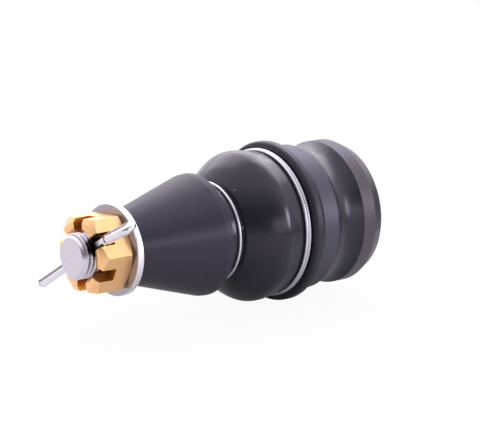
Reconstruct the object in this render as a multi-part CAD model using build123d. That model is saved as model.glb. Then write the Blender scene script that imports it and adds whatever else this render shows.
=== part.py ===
"""Press-in suspension ball joint, lying on its side. Millimetres.

The origin is the centre of the ball. +X runs along the stud towards its threaded tip, +Z is up.
Turned pieces are closed outlines of (x, radius) corners and arcs, revolved about the X axis.
"""
import os
from math import asin, cos, radians, sin, sqrt, tan

from build123d import *

# --- Ball and motion ------------------------------------------------------------------------------
BALL_R = 14.5
SWING = 25.0              # degrees that the stud leans to each side
SWING_CLEAR = 0.6         # room left between the neck and the mouth at full lean
RUN_CLEAR = 0.05          # running fit of the ball in its races
SLIP = 0.05               # slip fit between pieces that are put together by hand

# --- Housing --------------------------------------------------------------------------------------
LAND_R = 22.5             # upper press-fit land, which holds the joint in its arm
RIM_R = 22.3              # lower press-fit land, at the closed end
RIM_END_R = 20.3          # outer radius of the closed end's face
WAIST_R = 20.75           # bottom of the cove between the lands
FLANGE_R = 24.8           # stop flange
FLANGE_EDGE = 0.9         # height of the flange's rounded edge
CLOSED_END_X = -21.0
RIM_CHAMFER_X = -16.9     # where the closed end's chamfer meets the rim land
RIM_LAND_X = -12.4        # edge between the rim land and the cove
LAND_X = -2.3             # edge between the cove and the upper land
RELIEF_X = 3.4            # grinding relief between the upper land and the flange
RELIEF_R = 22.2
RELIEF_FOOT = 0.4         # slope up to the flange's face, which starts outside the land
FLANGE_X = 5.2            # stop shoulder of the flange
NOSE_X = 8.6              # where the flange ends and the boot's seat begins
MOUTH_X = 14.0            # open end of the housing
BOOT_SEAT_R = 19.6
NOSE_BEAD_R = 20.4        # bead that keeps the boot on its seat
NOSE_BEAD_RISE = 0.5      # length of the bead's slopes
BORE_R = 17.8             # bore that holds the races
SHOULDER_X = 8.2          # inner shoulder that the upper race sits on
COVER_STEP_X = -17.5      # inner step that the end cover sits on
COVER_R = 19.2
LIP_T = 1.1               # rim of the housing, rolled over the end cover
LIP_R = 16.6
DIMPLE_R = 5.4            # dimple in the middle of the end cover
DIMPLE_DEPTH = 1.0

# --- Races, spring and seal -----------------------------------------------------------------------
RACE_SPLIT = 0.4          # half the gap between the two races
RACE_LIP_X = 6.6          # where the upper race lets go of the ball
RACE_BACK_X = -15.2
RACE_HOLE_R = 5.5         # grease hole behind the ball
RACE_CHAMFER = 4.2
SPRING_T = 0.9
SPRING_RISE = 1.3
SPRING_R = (6.4, 12.6)
SEAL_WIRE_R = 0.95
CUP_ARC_MIDDLE = 125      # degrees round the ball from +X, halfway along the lower race's cup

# --- Stud and taper sleeve ------------------------------------------------------------------------
POLE_X = -13.6            # flat on the back of the ball
NECK_R = 8.5
BALL_END_X = 11.4         # where the ball meets its fillet to the neck
NECK_X = 14.2             # where that fillet reaches the neck
NECK_FILLET = (13.0, 8.58)
NECK_END_X = 19.0         # where the neck flares to the collar
NECK_FLARE = (22.4, 9.45)
COLLAR_X = 24.2
COLLAR_R = 11.5           # the taper sleeve is clamped against this collar
SHANK_X = 27.0
SHANK_R = 8.2
THREAD_X = 63.5
THREAD_R = 7.0            # M14 x 1.5, left plain
TIP_X = 82.0
TIP_CHAMFER = 1.3
STUD_TURN = -5.2          # degrees from +Z towards +Y to the middle of the nut's first flat
HUB_R = 12.3              # hub of the taper sleeve, inside the boot's small end
CONE_X = 35.3             # back face of the cone
CONE_R = 18.8
CONE_TAPER_X = 38.0       # where the cone's narrow cylindrical edge ends
CONE_TAPER_R = 18.6
CONE_FRONT_R = 10.4
CONE_EDGE = 0.8           # rounding of the cone's back edge
CONE_EDGE_BULGE = 0.3     # how far the rounding stands in from the corner, as a share of it
SLEEVE_CHAMFER = 0.4

# --- Washer, nut and split pin --------------------------------------------------------------------
WASHER_X = 65.4
WASHER_R = 14.0
WASHER_BORE_R = 7.5
WASHER_T = 2.3
WASHER_EDGE = 0.25
NUT_AF = 22.0             # across flats
NUT_H = 11.2
NUT_FACE_R = 9.9          # front face, inside the 30 degree chamfer
NUT_BACK_R = 10.8         # bearing face
NUT_CHAMFER = 30.0        # degrees
NUT_BORE_MOUTH_R = 8.3
SLOT_W = 4.2
SLOT_FLOOR = 5.6          # height of the slots' floor above the washer
PIN_R = 1.35              # split pin, both legs together
PIN_HOLE_R = 1.7
PIN_X = 77.4
PIN_TURN = 58.0           # degrees from +Z towards +Y
PIN_LEAN = 2.2            # degrees that the pin leans in its hole
PIN_GAP = 0.05            # half the gap between the two legs
PIN_LEG_REACH = (25.0, 27.0)
EYE_BEND = 5.0            # degrees that the eye is knocked over, away from the straight legs
EYE_BEND_R = 5.0
EYE_START = 12.3          # distance from the stud axis where the eye is bent and opens
EYE_OPEN = 3.2            # length over which it opens
EYE_R = 1.5               # inner radius of the eye
EYE_REACH = 25.7
EYE_TURN = -62.0          # degrees that the eye is turned about the pin

# --- Boot and its rings ---------------------------------------------------------------------------
WIRE_R = 0.5
RING_LARGE_X = 9.5        # first of the two turns
RING_LARGE_PITCH = 0.95
RING_LARGE_R = 22.9
RING_SMALL_X = 30.5
RING_SMALL_R = 15.6
BOOT_CLEAR = 0.3          # between the boot and the pieces that move in it
BOOT_BAND_X = 11.2        # where the band between the large ring and the crest begins
BOOT_BAND = [(12.0, 22.5), (12.6, 22.7), (14.5, 22.85)]
BOOT_CREST = (17.3, 23.3)
BOOT_BULGE = [(18.8, 23.3), (20.6, 22.95), (23.0, 21.7), (26.2, 19.3), (28.6, 16.8)]
BOOT_BULGE_END_R = 15.3
BOOT_HEEL_X = 11.6        # inner edge of the lip that grips the housing's seat
BOOT_INSIDE = [(27.4, 15.4), (24.8, 18.2), (21.5, 20.4), (17.5, 21.5)]
BOOT_INSIDE_END_X = 14.8
BOOT_END_X = 33.4
INSERT_T = 0.5            # stiff ring moulded into the boot's small end
INSERT_X = (29.5, 32.6)


# --- Shared shapes --------------------------------------------------------------------------------
def turned(*outline):
    """Revolve a closed outline about the X axis.

    A tuple is a corner. A list is a curve from the last corner: [through, end] is an arc, and a
    longer list is a smooth curve through all its points.
    """
    edges = []
    last = outline[0]
    for item in outline[1:] + (outline[0],):
        if item == last:
            continue
        if isinstance(item, tuple):
            edges.append(Line(last, item))
            last = item
        elif len(item) == 2:
            edges.append(ThreePointArc(last, *item))
            last = item[-1]
        else:
            edges.append(Spline(last, *item))
            last = item[-1]
    return revolve(make_face(edges), axis=Axis.X)


def circle_point(radius, degrees_from_x):
    """A point (x, r) on a circle about the ball centre."""
    angle = radians(degrees_from_x)
    return (radius * cos(angle), radius * sin(angle))


def circle_at(radius, x):
    """The point (x, r) of a circle about the ball centre at a given x."""
    return (x, sqrt(radius**2 - x**2))


def asin_degrees(ratio):
    """The arcsine in degrees."""
    return asin(ratio) / radians(1)


def wire_ring(x, outer_r):
    """One turn of round wire about the X axis."""
    return Pos(x, 0, 0) * Rot(0, 90, 0) * Torus(outer_r - WIRE_R, WIRE_R)


def toward(angle):
    """The turn about X that carries +Z by an angle towards +Y."""
    return Rot(-angle, 0, 0)


# --- Housing, cover, races, spring, seal ----------------------------------------------------------
def mouth_r(x):
    """The radius that clears the neck at full lean, at a distance x from the ball centre."""
    lean = radians(SWING)
    return NECK_R / cos(lean) + x * tan(lean) + SWING_CLEAR


def housing():
    """Turned body: rim land, cove, upper land, stop flange, and a nose with the boot's seat."""
    cover_out_x = CLOSED_END_X + LIP_T
    cove_middle = ((RIM_LAND_X + LAND_X) / 2, WAIST_R)
    flange_middle = ((FLANGE_X + NOSE_X) / 2, FLANGE_R)
    bead_start_x = MOUTH_X - 4 * NOSE_BEAD_RISE
    return turned(
        (CLOSED_END_X, LIP_R),
        (CLOSED_END_X, RIM_END_R),
        (RIM_CHAMFER_X, RIM_R),
        (RIM_LAND_X, RIM_R),
        [cove_middle, (LAND_X, RIM_R)],
        (LAND_X + LAND_R - RIM_R, LAND_R),
        (RELIEF_X, LAND_R),
        (RELIEF_X + LAND_R - RELIEF_R, RELIEF_R),
        (FLANGE_X - RELIEF_FOOT, RELIEF_R),
        (FLANGE_X, RELIEF_R + RELIEF_FOOT),
        (FLANGE_X, FLANGE_R - FLANGE_EDGE),
        [flange_middle, (NOSE_X, FLANGE_R - FLANGE_EDGE)],
        (NOSE_X, BOOT_SEAT_R),
        (bead_start_x, BOOT_SEAT_R),
        (bead_start_x + NOSE_BEAD_RISE, NOSE_BEAD_R),
        (MOUTH_X - NOSE_BEAD_RISE, NOSE_BEAD_R),
        (MOUTH_X, NOSE_BEAD_R - NOSE_BEAD_RISE),
        (MOUTH_X, mouth_r(MOUTH_X)),
        (SHOULDER_X, mouth_r(SHOULDER_X)),
        (SHOULDER_X, BORE_R),
        (COVER_STEP_X, BORE_R),
        (COVER_STEP_X, COVER_R),
        (cover_out_x, COVER_R),
        (cover_out_x, LIP_R),
    )


def end_cover():
    """Pressed plate under the rolled rim, with a dimple in its middle."""
    outside = CLOSED_END_X + LIP_T + SLIP
    inside = COVER_STEP_X - SLIP
    return turned(
        (outside, COVER_R - SLIP),
        (outside, DIMPLE_R + DIMPLE_DEPTH),
        (outside + DIMPLE_DEPTH, DIMPLE_R),
        (outside + DIMPLE_DEPTH, 0),
        (inside + DIMPLE_DEPTH, 0),
        (inside + DIMPLE_DEPTH, DIMPLE_R - DIMPLE_DEPTH),
        (inside, DIMPLE_R),
        (inside, COVER_R - SLIP),
    )


def upper_race():
    """Bearing ring on the boot side of the ball, held by the inner shoulder."""
    socket_r = BALL_R + RUN_CLEAR
    return turned(
        circle_at(socket_r, RACE_SPLIT),
        (RACE_SPLIT, BORE_R - SLIP),
        (SHOULDER_X - SLIP, BORE_R - SLIP),
        (SHOULDER_X - SLIP, mouth_r(SHOULDER_X)),
        circle_at(socket_r, RACE_LIP_X),
        [circle_at(socket_r, RACE_LIP_X / 2), circle_at(socket_r, RACE_SPLIT)],
    )


def lower_race():
    """Bearing cup on the closed side of the ball, with a grease hole."""
    socket_r = BALL_R + RUN_CLEAR
    hole_edge = circle_point(socket_r, 180 - asin_degrees(RACE_HOLE_R / socket_r))
    return turned(
        hole_edge,
        (RACE_BACK_X, RACE_HOLE_R),
        (RACE_BACK_X, BORE_R - RACE_CHAMFER),
        (RACE_BACK_X + RACE_CHAMFER, BORE_R - SLIP),
        (-RACE_SPLIT, BORE_R - SLIP),
        circle_at(socket_r, -RACE_SPLIT),
        [circle_point(socket_r, CUP_ARC_MIDDLE), hole_edge],
    )


def preload_spring():
    """Conical disc spring: its wide edge on the cover, its narrow edge on the lower race."""
    inner_r, outer_r = SPRING_R
    back = COVER_STEP_X
    return turned(
        (back, outer_r),
        (back + SPRING_T, outer_r),
        (back + SPRING_T + SPRING_RISE, inner_r),
        (back + SPRING_RISE, inner_r),
    )


def cover_seal():
    """Rubber ring in the corner between the bore and the end cover."""
    centre_x = COVER_STEP_X + SEAL_WIRE_R + SLIP
    centre_r = BORE_R - SEAL_WIRE_R - SLIP
    return Pos(centre_x, 0, 0) * Rot(0, 90, 0) * Torus(centre_r, SEAL_WIRE_R)


# --- Stud and what is clamped on it ---------------------------------------------------------------
def ball_stud():
    """Ball, neck, collar, shank and threaded end, with the cross-hole for the split pin."""
    stud = turned(
        (POLE_X, 0),
        circle_at(BALL_R, POLE_X),
        [(0, BALL_R), circle_at(BALL_R, BALL_END_X)],
        [NECK_FILLET, (NECK_X, NECK_R)],
        (NECK_END_X, NECK_R),
        [NECK_FLARE, (COLLAR_X, COLLAR_R)],
        (SHANK_X, COLLAR_R),
        (SHANK_X, SHANK_R),
        (THREAD_X - SHANK_R + THREAD_R, SHANK_R),
        (THREAD_X, THREAD_R),
        (TIP_X - TIP_CHAMFER, THREAD_R),
        (TIP_X, THREAD_R - TIP_CHAMFER),
        (TIP_X, 0),
    )
    return stud - pin_frame() * Cylinder(PIN_HOLE_R, 4 * THREAD_R)


def taper_sleeve():
    """Hardened cone with a hub at its back, bored to slide on the shank."""
    bore_r = SHANK_R + SLIP
    bulge = CONE_EDGE_BULGE * CONE_EDGE
    return turned(
        (SHANK_X + SLIP, bore_r),
        (SHANK_X + SLIP, HUB_R - SLEEVE_CHAMFER),
        (SHANK_X + SLIP + SLEEVE_CHAMFER, HUB_R),
        (CONE_X, HUB_R),
        (CONE_X, CONE_R - CONE_EDGE),
        [(CONE_X + bulge, CONE_R - bulge), (CONE_X + CONE_EDGE, CONE_R)],
        (CONE_TAPER_X, CONE_TAPER_R),
        (WASHER_X - SLEEVE_CHAMFER, CONE_FRONT_R),
        (WASHER_X, CONE_FRONT_R - SLEEVE_CHAMFER),
        (WASHER_X, bore_r),
    )


def washer():
    """Flat washer with its edges broken."""
    front = WASHER_X + WASHER_T
    return turned(
        (WASHER_X, WASHER_BORE_R),
        (WASHER_X, WASHER_R - WASHER_EDGE),
        (WASHER_X + WASHER_EDGE, WASHER_R),
        (front - WASHER_EDGE, WASHER_R),
        (front, WASHER_R - WASHER_EDGE),
        (front, WASHER_BORE_R),
    )


def castle_nut():
    """Slotted hexagon nut: chamfered corners, six slots in its flats, countersunk bore."""
    back = WASHER_X + WASHER_T
    front = back + NUT_H
    corner_r = NUT_AF / sqrt(3)
    slope = tan(radians(NUT_CHAMFER))
    flats = Pos(back, 0, 0) * Rot(0, 90, 0) * extrude(
        RegularPolygon(NUT_AF / 2, 6, major_radius=False, rotation=30), NUT_H
    )
    envelope = turned(
        (back, THREAD_R + SLIP),
        (back, NUT_BACK_R),
        (back + (corner_r - NUT_BACK_R) * slope, corner_r),
        (front - (corner_r - NUT_FACE_R) * slope, corner_r),
        (front, NUT_FACE_R),
        (front, NUT_BORE_MOUTH_R),
        (front - NUT_BORE_MOUTH_R + THREAD_R, THREAD_R + SLIP),
    )
    nut = flats & envelope
    slot = Box(
        NUT_H - SLOT_FLOOR, SLOT_W, NUT_AF + SLOT_W, align=(Align.MIN, Align.CENTER, Align.CENTER)
    )
    for turn in (0, 60, 120):
        nut -= toward(turn) * Pos(back + SLOT_FLOOR, 0, 0) * slot
    return toward(STUD_TURN) * nut


def pin_frame():
    """Frame of the cross-hole: local Z runs along the pin towards its eye."""
    return toward(PIN_TURN) * Pos(PIN_X, 0, 0) * Rot(0, -PIN_LEAN, 0)


def cotter_pin():
    """Half-round wire folded into two straight legs and an eye, swept along its flat face."""
    open_half = EYE_R - PIN_GAP
    half_turn = 2 * asin_degrees(open_half / sqrt(open_half**2 + EYE_OPEN**2))
    bend_r = EYE_OPEN / 2 / sin(radians(half_turn))
    straight_end = EYE_REACH - PIN_R - EYE_R
    with BuildLine() as route:
        leg = Line((-PIN_LEG_REACH[0], PIN_GAP), (EYE_START, PIN_GAP))
        bend_out = JernArc(leg @ 1, leg % 1, bend_r, half_turn)
        bend_back = JernArc(bend_out @ 1, bend_out % 1, bend_r, -half_turn)
        side = Line(bend_back @ 1, (straight_end, EYE_R))
        eye = JernArc(side @ 1, side % 1, EYE_R, -180)
        far_side = Line(eye @ 1, (EYE_START + EYE_OPEN, -EYE_R))
        far_back = JernArc(far_side @ 1, far_side % 1, bend_r, -half_turn)
        far_out = JernArc(far_back @ 1, far_back % 1, bend_r, half_turn)
        Line(far_out @ 1, (-PIN_LEG_REACH[1], -PIN_GAP))
    half_round = make_face([
        Line((0, -PIN_R), (0, PIN_R)),
        ThreePointArc((0, PIN_R), (PIN_R, 0), (0, -PIN_R)),
    ])
    start = Plane(origin=leg @ 0, x_dir=(0, 1, 0), z_dir=(1, 0, 0))
    straight = sweep(start * half_round, path=route.wire())
    bend_plane = Plane(origin=(EYE_START, 0, 0), z_dir=(1, 0, 0))
    bend_axis = Axis((EYE_START, 0, EYE_BEND_R), (0, -1, 0))
    legs = split(straight, bisect_by=bend_plane, keep=Keep.BOTTOM)
    bent_eye = split(straight, bisect_by=bend_plane, keep=Keep.TOP).rotate(bend_axis, EYE_BEND)
    leg_ends = legs.faces().sort_by(Axis.X)[-2:]
    elbows = [revolve(end, axis=bend_axis, revolution_arc=EYE_BEND) for end in leg_ends]
    along_z = Rot(0, 0, EYE_TURN) * Rot(0, -90, 0)
    return pin_frame() * along_z * (legs + elbows + bent_eye)


# --- Boot and its rings ---------------------------------------------------------------------------
def dust_boot():
    """Rubber boot: seat lip, groove for the two-turn ring, bulge, and a neck with its own groove."""
    seat_r = BOOT_SEAT_R + BOOT_CLEAR
    inside_r = NOSE_BEAD_R + BOOT_CLEAR
    groove_r = RING_LARGE_R - 2 * WIRE_R - BOOT_CLEAR
    neck_r = HUB_R + BOOT_CLEAR + INSERT_T + SLIP
    neck_groove_r = RING_SMALL_R - 2 * WIRE_R - BOOT_CLEAR
    neck_groove_half = WIRE_R + BOOT_CLEAR
    return turned(
        (NOSE_X + SLIP, seat_r),
        (NOSE_X + SLIP, groove_r),
        (BOOT_BAND_X, groove_r),
        BOOT_BAND + [BOOT_CREST],
        BOOT_BULGE + [(RING_SMALL_X - neck_groove_half, BOOT_BULGE_END_R)],
        (RING_SMALL_X - neck_groove_half, neck_groove_r),
        (RING_SMALL_X + neck_groove_half, neck_groove_r),
        (RING_SMALL_X + neck_groove_half + BOOT_CLEAR, RING_SMALL_R - WIRE_R),
        (BOOT_END_X, RING_SMALL_R - WIRE_R),
        (BOOT_END_X, neck_r),
        (INSERT_X[0] - SLIP, neck_r),
        BOOT_INSIDE + [(BOOT_INSIDE_END_X, inside_r)],
        (BOOT_HEEL_X, inside_r),
        (BOOT_HEEL_X, seat_r),
    )


def boot_ring_large():
    """Two turns of spring wire, side by side."""
    second_x = RING_LARGE_X + RING_LARGE_PITCH
    return wire_ring(RING_LARGE_X, RING_LARGE_R) + wire_ring(second_x, RING_LARGE_R)


def boot_ring_small():
    """One turn of spring wire round the boot's neck."""
    return wire_ring(RING_SMALL_X, RING_SMALL_R)


def neck_insert():
    """Stiff ring inside the boot's neck, which runs on the hub of the taper sleeve."""
    inner_r = HUB_R + BOOT_CLEAR
    start, end = INSERT_X
    return turned(
        (start, inner_r), (start, inner_r + INSERT_T), (end, inner_r + INSERT_T), (end, inner_r)
    )


# --- All pieces -----------------------------------------------------------------------------------
PIECES = {
    "housing": housing,
    "end_cover": end_cover,
    "upper_race": upper_race,
    "lower_race": lower_race,
    "preload_spring": preload_spring,
    "cover_seal": cover_seal,
    "ball_stud": ball_stud,
    "taper_sleeve": taper_sleeve,
    "washer": washer,
    "castle_nut": castle_nut,
    "cotter_pin": cotter_pin,
    "dust_boot": dust_boot,
    "boot_ring_large": boot_ring_large,
    "boot_ring_small": boot_ring_small,
    "neck_insert": neck_insert,
}

os.makedirs("parts", exist_ok=True)
for name, make in PIECES.items():
    export_step(make(), f"parts/{name}.step")
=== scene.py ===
"""Press-in suspension ball joint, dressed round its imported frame: X runs along the stud to its
threaded tip, with 0 at the ball's centre. Named sizes are millimetres and meshes are metres."""

import bmesh
import bpy
import numpy as np
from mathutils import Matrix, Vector


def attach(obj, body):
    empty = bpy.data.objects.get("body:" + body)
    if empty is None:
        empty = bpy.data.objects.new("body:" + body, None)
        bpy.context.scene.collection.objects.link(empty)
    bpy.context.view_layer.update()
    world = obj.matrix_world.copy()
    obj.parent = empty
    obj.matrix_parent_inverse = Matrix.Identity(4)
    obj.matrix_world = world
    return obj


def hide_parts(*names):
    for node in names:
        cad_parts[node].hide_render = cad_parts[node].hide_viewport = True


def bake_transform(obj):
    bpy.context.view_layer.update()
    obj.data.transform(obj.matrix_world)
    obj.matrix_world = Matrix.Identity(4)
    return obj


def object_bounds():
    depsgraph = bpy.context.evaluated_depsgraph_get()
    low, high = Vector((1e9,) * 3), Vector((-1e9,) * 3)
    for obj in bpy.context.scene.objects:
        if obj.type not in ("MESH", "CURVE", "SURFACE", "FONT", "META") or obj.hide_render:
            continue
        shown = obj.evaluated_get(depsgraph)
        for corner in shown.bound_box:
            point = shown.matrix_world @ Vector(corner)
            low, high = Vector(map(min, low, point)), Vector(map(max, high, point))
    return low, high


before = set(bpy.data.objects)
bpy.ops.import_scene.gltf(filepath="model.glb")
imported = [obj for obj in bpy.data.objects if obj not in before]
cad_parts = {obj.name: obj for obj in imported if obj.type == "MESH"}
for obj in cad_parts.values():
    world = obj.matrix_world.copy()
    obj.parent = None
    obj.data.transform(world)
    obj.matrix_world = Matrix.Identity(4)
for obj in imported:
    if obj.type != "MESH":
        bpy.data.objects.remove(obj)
cad_box = [list(corner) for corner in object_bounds()]


# === Housing =====================================================================================
# A steel forging, turned all over and coated black, with its two press-fit lands ground to size.
# The upper land and the rim are rubbed to grey; the cove and the stop flange keep the coat.
MM = 0.001
LAND_R, RIM_R, RIM_END_R, WAIST_R, FLANGE_R = 22.5, 22.3, 20.3, 20.75, 24.8
CLOSED_END_X, RIM_CHAMFER_X, RIM_LAND_X, LAND_X = -21.0, -16.9, -12.4, -2.3
RELIEF_X, RELIEF_R, FLANGE_X, NOSE_X, MOUTH_X = 3.4, 22.2, 5.2, 8.6, 14.0
BOOT_SEAT_R, BEAD_R, MOUTH_R, SHOULDER_R, BORE_R = 19.6, 20.4, 16.5, 13.8, 17.8
SHOULDER_X, COVER_STEP_X, COVER_R, LIP_R, LIP_T = 8.2, -17.5, 19.2, 16.6, 1.1
GREY_END_X = 5.3           # the rubbed grey ends just past the flange's face
DARK_REFLECTION_Z = (-4.0, 11.0)  # height band on the chamfer's near side painted black, a painted dark reflection
AROUND = 256               # steps round a turned piece
LONGEST_ARC = 0.45         # most of a side that a rounded corner takes
SUPPORT = 0.2              # distance of the close points from a corner's arc, in arc lengths
MERGE = 2e-7               # metres between points that are one, such as those on the axis


def arc(start, middle, end, steps=14):
    """Points on the circle through three points: its centre is where the two chords' bisectors
    meet, and the angle runs evenly from start to end on the middle's side."""
    a, m, b = (np.array(p, float) for p in (start, middle, end))
    sides = 2 * np.array([m - a, b - a])
    centre = np.linalg.solve(sides, [m @ m - a @ a, b @ b - a @ a])
    angles = [np.arctan2(*(p - centre)[::-1]) for p in (a, m, b)]
    sweep = (angles[2] - angles[0]) % (2 * np.pi)
    if (angles[1] - angles[0]) % (2 * np.pi) > sweep:
        sweep -= 2 * np.pi
    t = angles[0] + sweep * np.linspace(0, 1, steps + 1)
    points = centre + np.hypot(*(a - centre)) * np.stack([np.cos(t), np.sin(t)], 1)
    return [(x, r, 0.0) for x, r in points]


def rounded(outline, steps=5, closed=True):
    """Round the corners (x, r, radius) of an outline. Each corner becomes an arc that touches both
    of its sides: it starts at radius / tan(half the corner's angle) from the corner, and its
    centre is radius / sin(half) away. A close point on each side keeps the side's shading flat."""
    corners = np.array(outline, float)
    out = []
    for i, (x, r, radius) in enumerate(corners):
        here = np.array([x, r])
        if radius == 0 or (not closed and i in (0, len(corners) - 1)):
            out.append(here[None])
            continue
        back = corners[i - 1, :2] - here
        ahead = corners[(i + 1) % len(corners), :2] - here
        reach = min(np.linalg.norm(back), np.linalg.norm(ahead)) * LONGEST_ARC
        back, ahead = back / np.linalg.norm(back), ahead / np.linalg.norm(ahead)
        half = np.arccos(np.clip(back @ ahead, -1, 1)) / 2
        length = min(radius / np.tan(half), reach)
        radius = length * np.tan(half)
        middle = here + (back + ahead) / np.linalg.norm(back + ahead) * radius / np.sin(half)
        first, last = here + back * length - middle, here + ahead * length - middle
        turn = np.arctan2(first[0] * last[1] - first[1] * last[0], first @ last)
        t = turn * np.linspace(0, 1, steps + 1)
        bend = np.stack([first[0] * np.cos(t) - first[1] * np.sin(t),
                         first[0] * np.sin(t) + first[1] * np.cos(t)], 1) + middle
        support = length * SUPPORT
        out.append(np.vstack([bend[0] + back * support, bend, bend[-1] + ahead * support]))
    return np.vstack(out)


def surface(name, points, wrap_rows=False, wrap_columns=True):
    """A mesh from a grid of points (rows, columns, 3) in millimetres. Neighbours in the grid are
    joined by quads, the grid closes on itself where it wraps, and all faces point outwards."""
    rows, columns = points.shape[:2]
    i = np.arange(rows if wrap_rows else rows - 1)[:, None]
    j = np.arange(columns if wrap_columns else columns - 1)[None, :]
    i2, j2 = (i + 1) % rows, (j + 1) % columns
    quads = np.stack([i * columns + j, i * columns + j2, i2 * columns + j2, i2 * columns + j], -1)
    mesh = bpy.data.meshes.new(name)
    mesh.from_pydata(points.reshape(-1, 3) * MM, [], quads.reshape(-1, 4).tolist())
    shape = bmesh.new()
    shape.from_mesh(mesh)
    bmesh.ops.remove_doubles(shape, verts=shape.verts, dist=MERGE)
    bmesh.ops.dissolve_degenerate(shape, edges=shape.edges, dist=MERGE / 2)
    if shape.calc_volume(signed=True) < 0:
        bmesh.ops.reverse_faces(shape, faces=shape.faces)
    shape.to_mesh(mesh)
    shape.free()
    mesh.polygons.foreach_set("use_smooth", np.ones(len(mesh.polygons), bool))
    piece = bpy.data.objects.new(name, mesh)
    bpy.context.scene.collection.objects.link(piece)
    return piece


def turned(name, profile, around=AROUND, closed=True):
    """Revolve a profile of (x, r) points about X: point (x, r) becomes the circle
    (x, r sin a, r cos a)."""
    angle = np.linspace(0, 2 * np.pi, around, endpoint=False)
    x, r = profile[:, :1], profile[:, 1:2]
    grid = np.stack([x + 0 * angle, r * np.sin(angle), r * np.cos(angle)], -1)
    return surface(name, grid, wrap_rows=closed)


def stand_for(piece, node, material):
    """Put a piece in place of its node, with its finish."""
    piece.data.materials.append(material)
    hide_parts(node)


class Finish:
    """A material with one Principled shader, and short ways to add and join nodes. Its colour and
    roughness hold until a pattern is fed in their place."""

    def __init__(self, name, colour, roughness, metallic=0.0, **sockets):
        self.material = bpy.data.materials.new(name)
        self.material.use_nodes = True
        self.tree = self.material.node_tree
        self.shader = self.tree.nodes["Principled BSDF"]
        self.set(self.shader, **{"Base Color": (*colour, 1), "Roughness": roughness,
                                 "Metallic": metallic}, **sockets)
        self.place = self.node("ShaderNodeTexCoord").outputs["Object"]

    def node(self, kind, links=(), settings=(), **sockets):
        """A new node: links join sockets to outputs, settings are its own, sockets get values."""
        node = self.tree.nodes.new(kind)
        for key, value in dict(settings).items():
            setattr(node, key, value)
        self.set(node, **sockets)
        for socket, source in dict(links).items():
            self.tree.links.new(source, node.inputs[socket])
        return node

    @staticmethod
    def set(node, **sockets):
        """Give a node's sockets their values."""
        for key, value in sockets.items():
            node.inputs[key].default_value = value

    def stretched(self, scale):
        """Object coordinates, scaled differently along each axis."""
        return self.node("ShaderNodeMapping", {"Vector": self.place}, Scale=scale).outputs[0]

    def noise(self, scale, detail=3.0):
        """Soft patches between 0 and 1, about 1 / scale metres wide along each axis."""
        return self.node("ShaderNodeTexNoise", {"Vector": self.stretched(scale)}, Scale=1.0,
                         Detail=detail).outputs["Fac"]

    def axis(self, name):
        """The X, Y or Z of the object coordinates."""
        return self.node("ShaderNodeSeparateXYZ", {0: self.place}).outputs[name]

    def radius(self):
        """Distance from the X axis: the root of y squared plus z squared."""
        y, z = self.axis("Y"), self.axis("Z")
        return self.maths("SQRT", self.maths("ADD", self.both(y, y), self.both(z, z)))

    def ranged(self, value, low, high, from_low=0.0, from_high=1.0):
        """Low to high as the value goes from from_low to from_high, and held outside them."""
        node = self.node("ShaderNodeMapRange", {"Value": value})
        for key, number in enumerate((from_low, from_high, low, high), 1):
            node.inputs[key].default_value = number
        return node.outputs[0]

    def step(self, length, start, end):
        """0 to 1 as a length goes from start to end in millimetres; start may be the larger."""
        return self.ranged(length, 0, 1, start * MM, end * MM)

    def band(self, length, start, end, soft=0.05):
        """1 where a length lies between start and end, 0 elsewhere, with soft edges."""
        return self.both(self.step(length, start - soft, start + soft),
                         self.step(length, end + soft, end - soft))

    def blended(self, factor, one, other):
        """One colour where the factor is 0, the other where it is 1."""
        node = self.node("ShaderNodeMix", {0: factor}, {"data_type": "RGBA"})
        for key, colour in ((6, one), (7, other)):
            if isinstance(colour, tuple):
                node.inputs[key].default_value = (*colour, 1)
            else:
                self.tree.links.new(colour, node.inputs[key])
        return node.outputs[2]

    def maths(self, operation, one, other=0):
        """Maths on two values, each a number or a node's output."""
        node = self.node("ShaderNodeMath", settings={"operation": operation})
        for key, value in ((0, one), (1, other)):
            if isinstance(value, (int, float)):
                node.inputs[key].default_value = value
            else:
                self.tree.links.new(value, node.inputs[key])
        return node.outputs[0]

    def both(self, one, other):
        """The product of two values, so of two masks the part that they share."""
        return self.maths("MULTIPLY", one, other)

    def vector(self, operation, one, other=(0, 0, 0)):
        """Vector maths with a fixed second vector. A dot product or a length gives a value."""
        node = self.node("ShaderNodeVectorMath", {0: one}, {"operation": operation})
        node.inputs[1].default_value = other
        return node.outputs["Value" if operation in ("DOT_PRODUCT", "LENGTH") else "Vector"]

    def feed(self, socket, source):
        """Lead a pattern into one of the shader's sockets."""
        self.tree.links.new(source, self.shader.inputs[socket])

    def bump(self, height, distance, strength=1.0):
        """Tilt the shading as a surface would whose height varies by distance in metres."""
        node = self.node("ShaderNodeBump", {"Height": height}, Strength=strength,
                         Distance=distance)
        self.feed("Normal", node.outputs[0])


def dark_finish(name, colour, roughness, sheen):
    """A dark skin that reflects a little less than plain plastic, in a cool tint, under a faint
    warm bloom."""
    return Finish(name, colour, roughness, **{
        "Specular IOR Level": 0.44, "Specular Tint": (0.88, 0.84, 1.0, 1), "Sheen Weight": sheen,
        "Sheen Roughness": 0.3, "Sheen Tint": (1, 0.93, 0.97, 1)})


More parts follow.
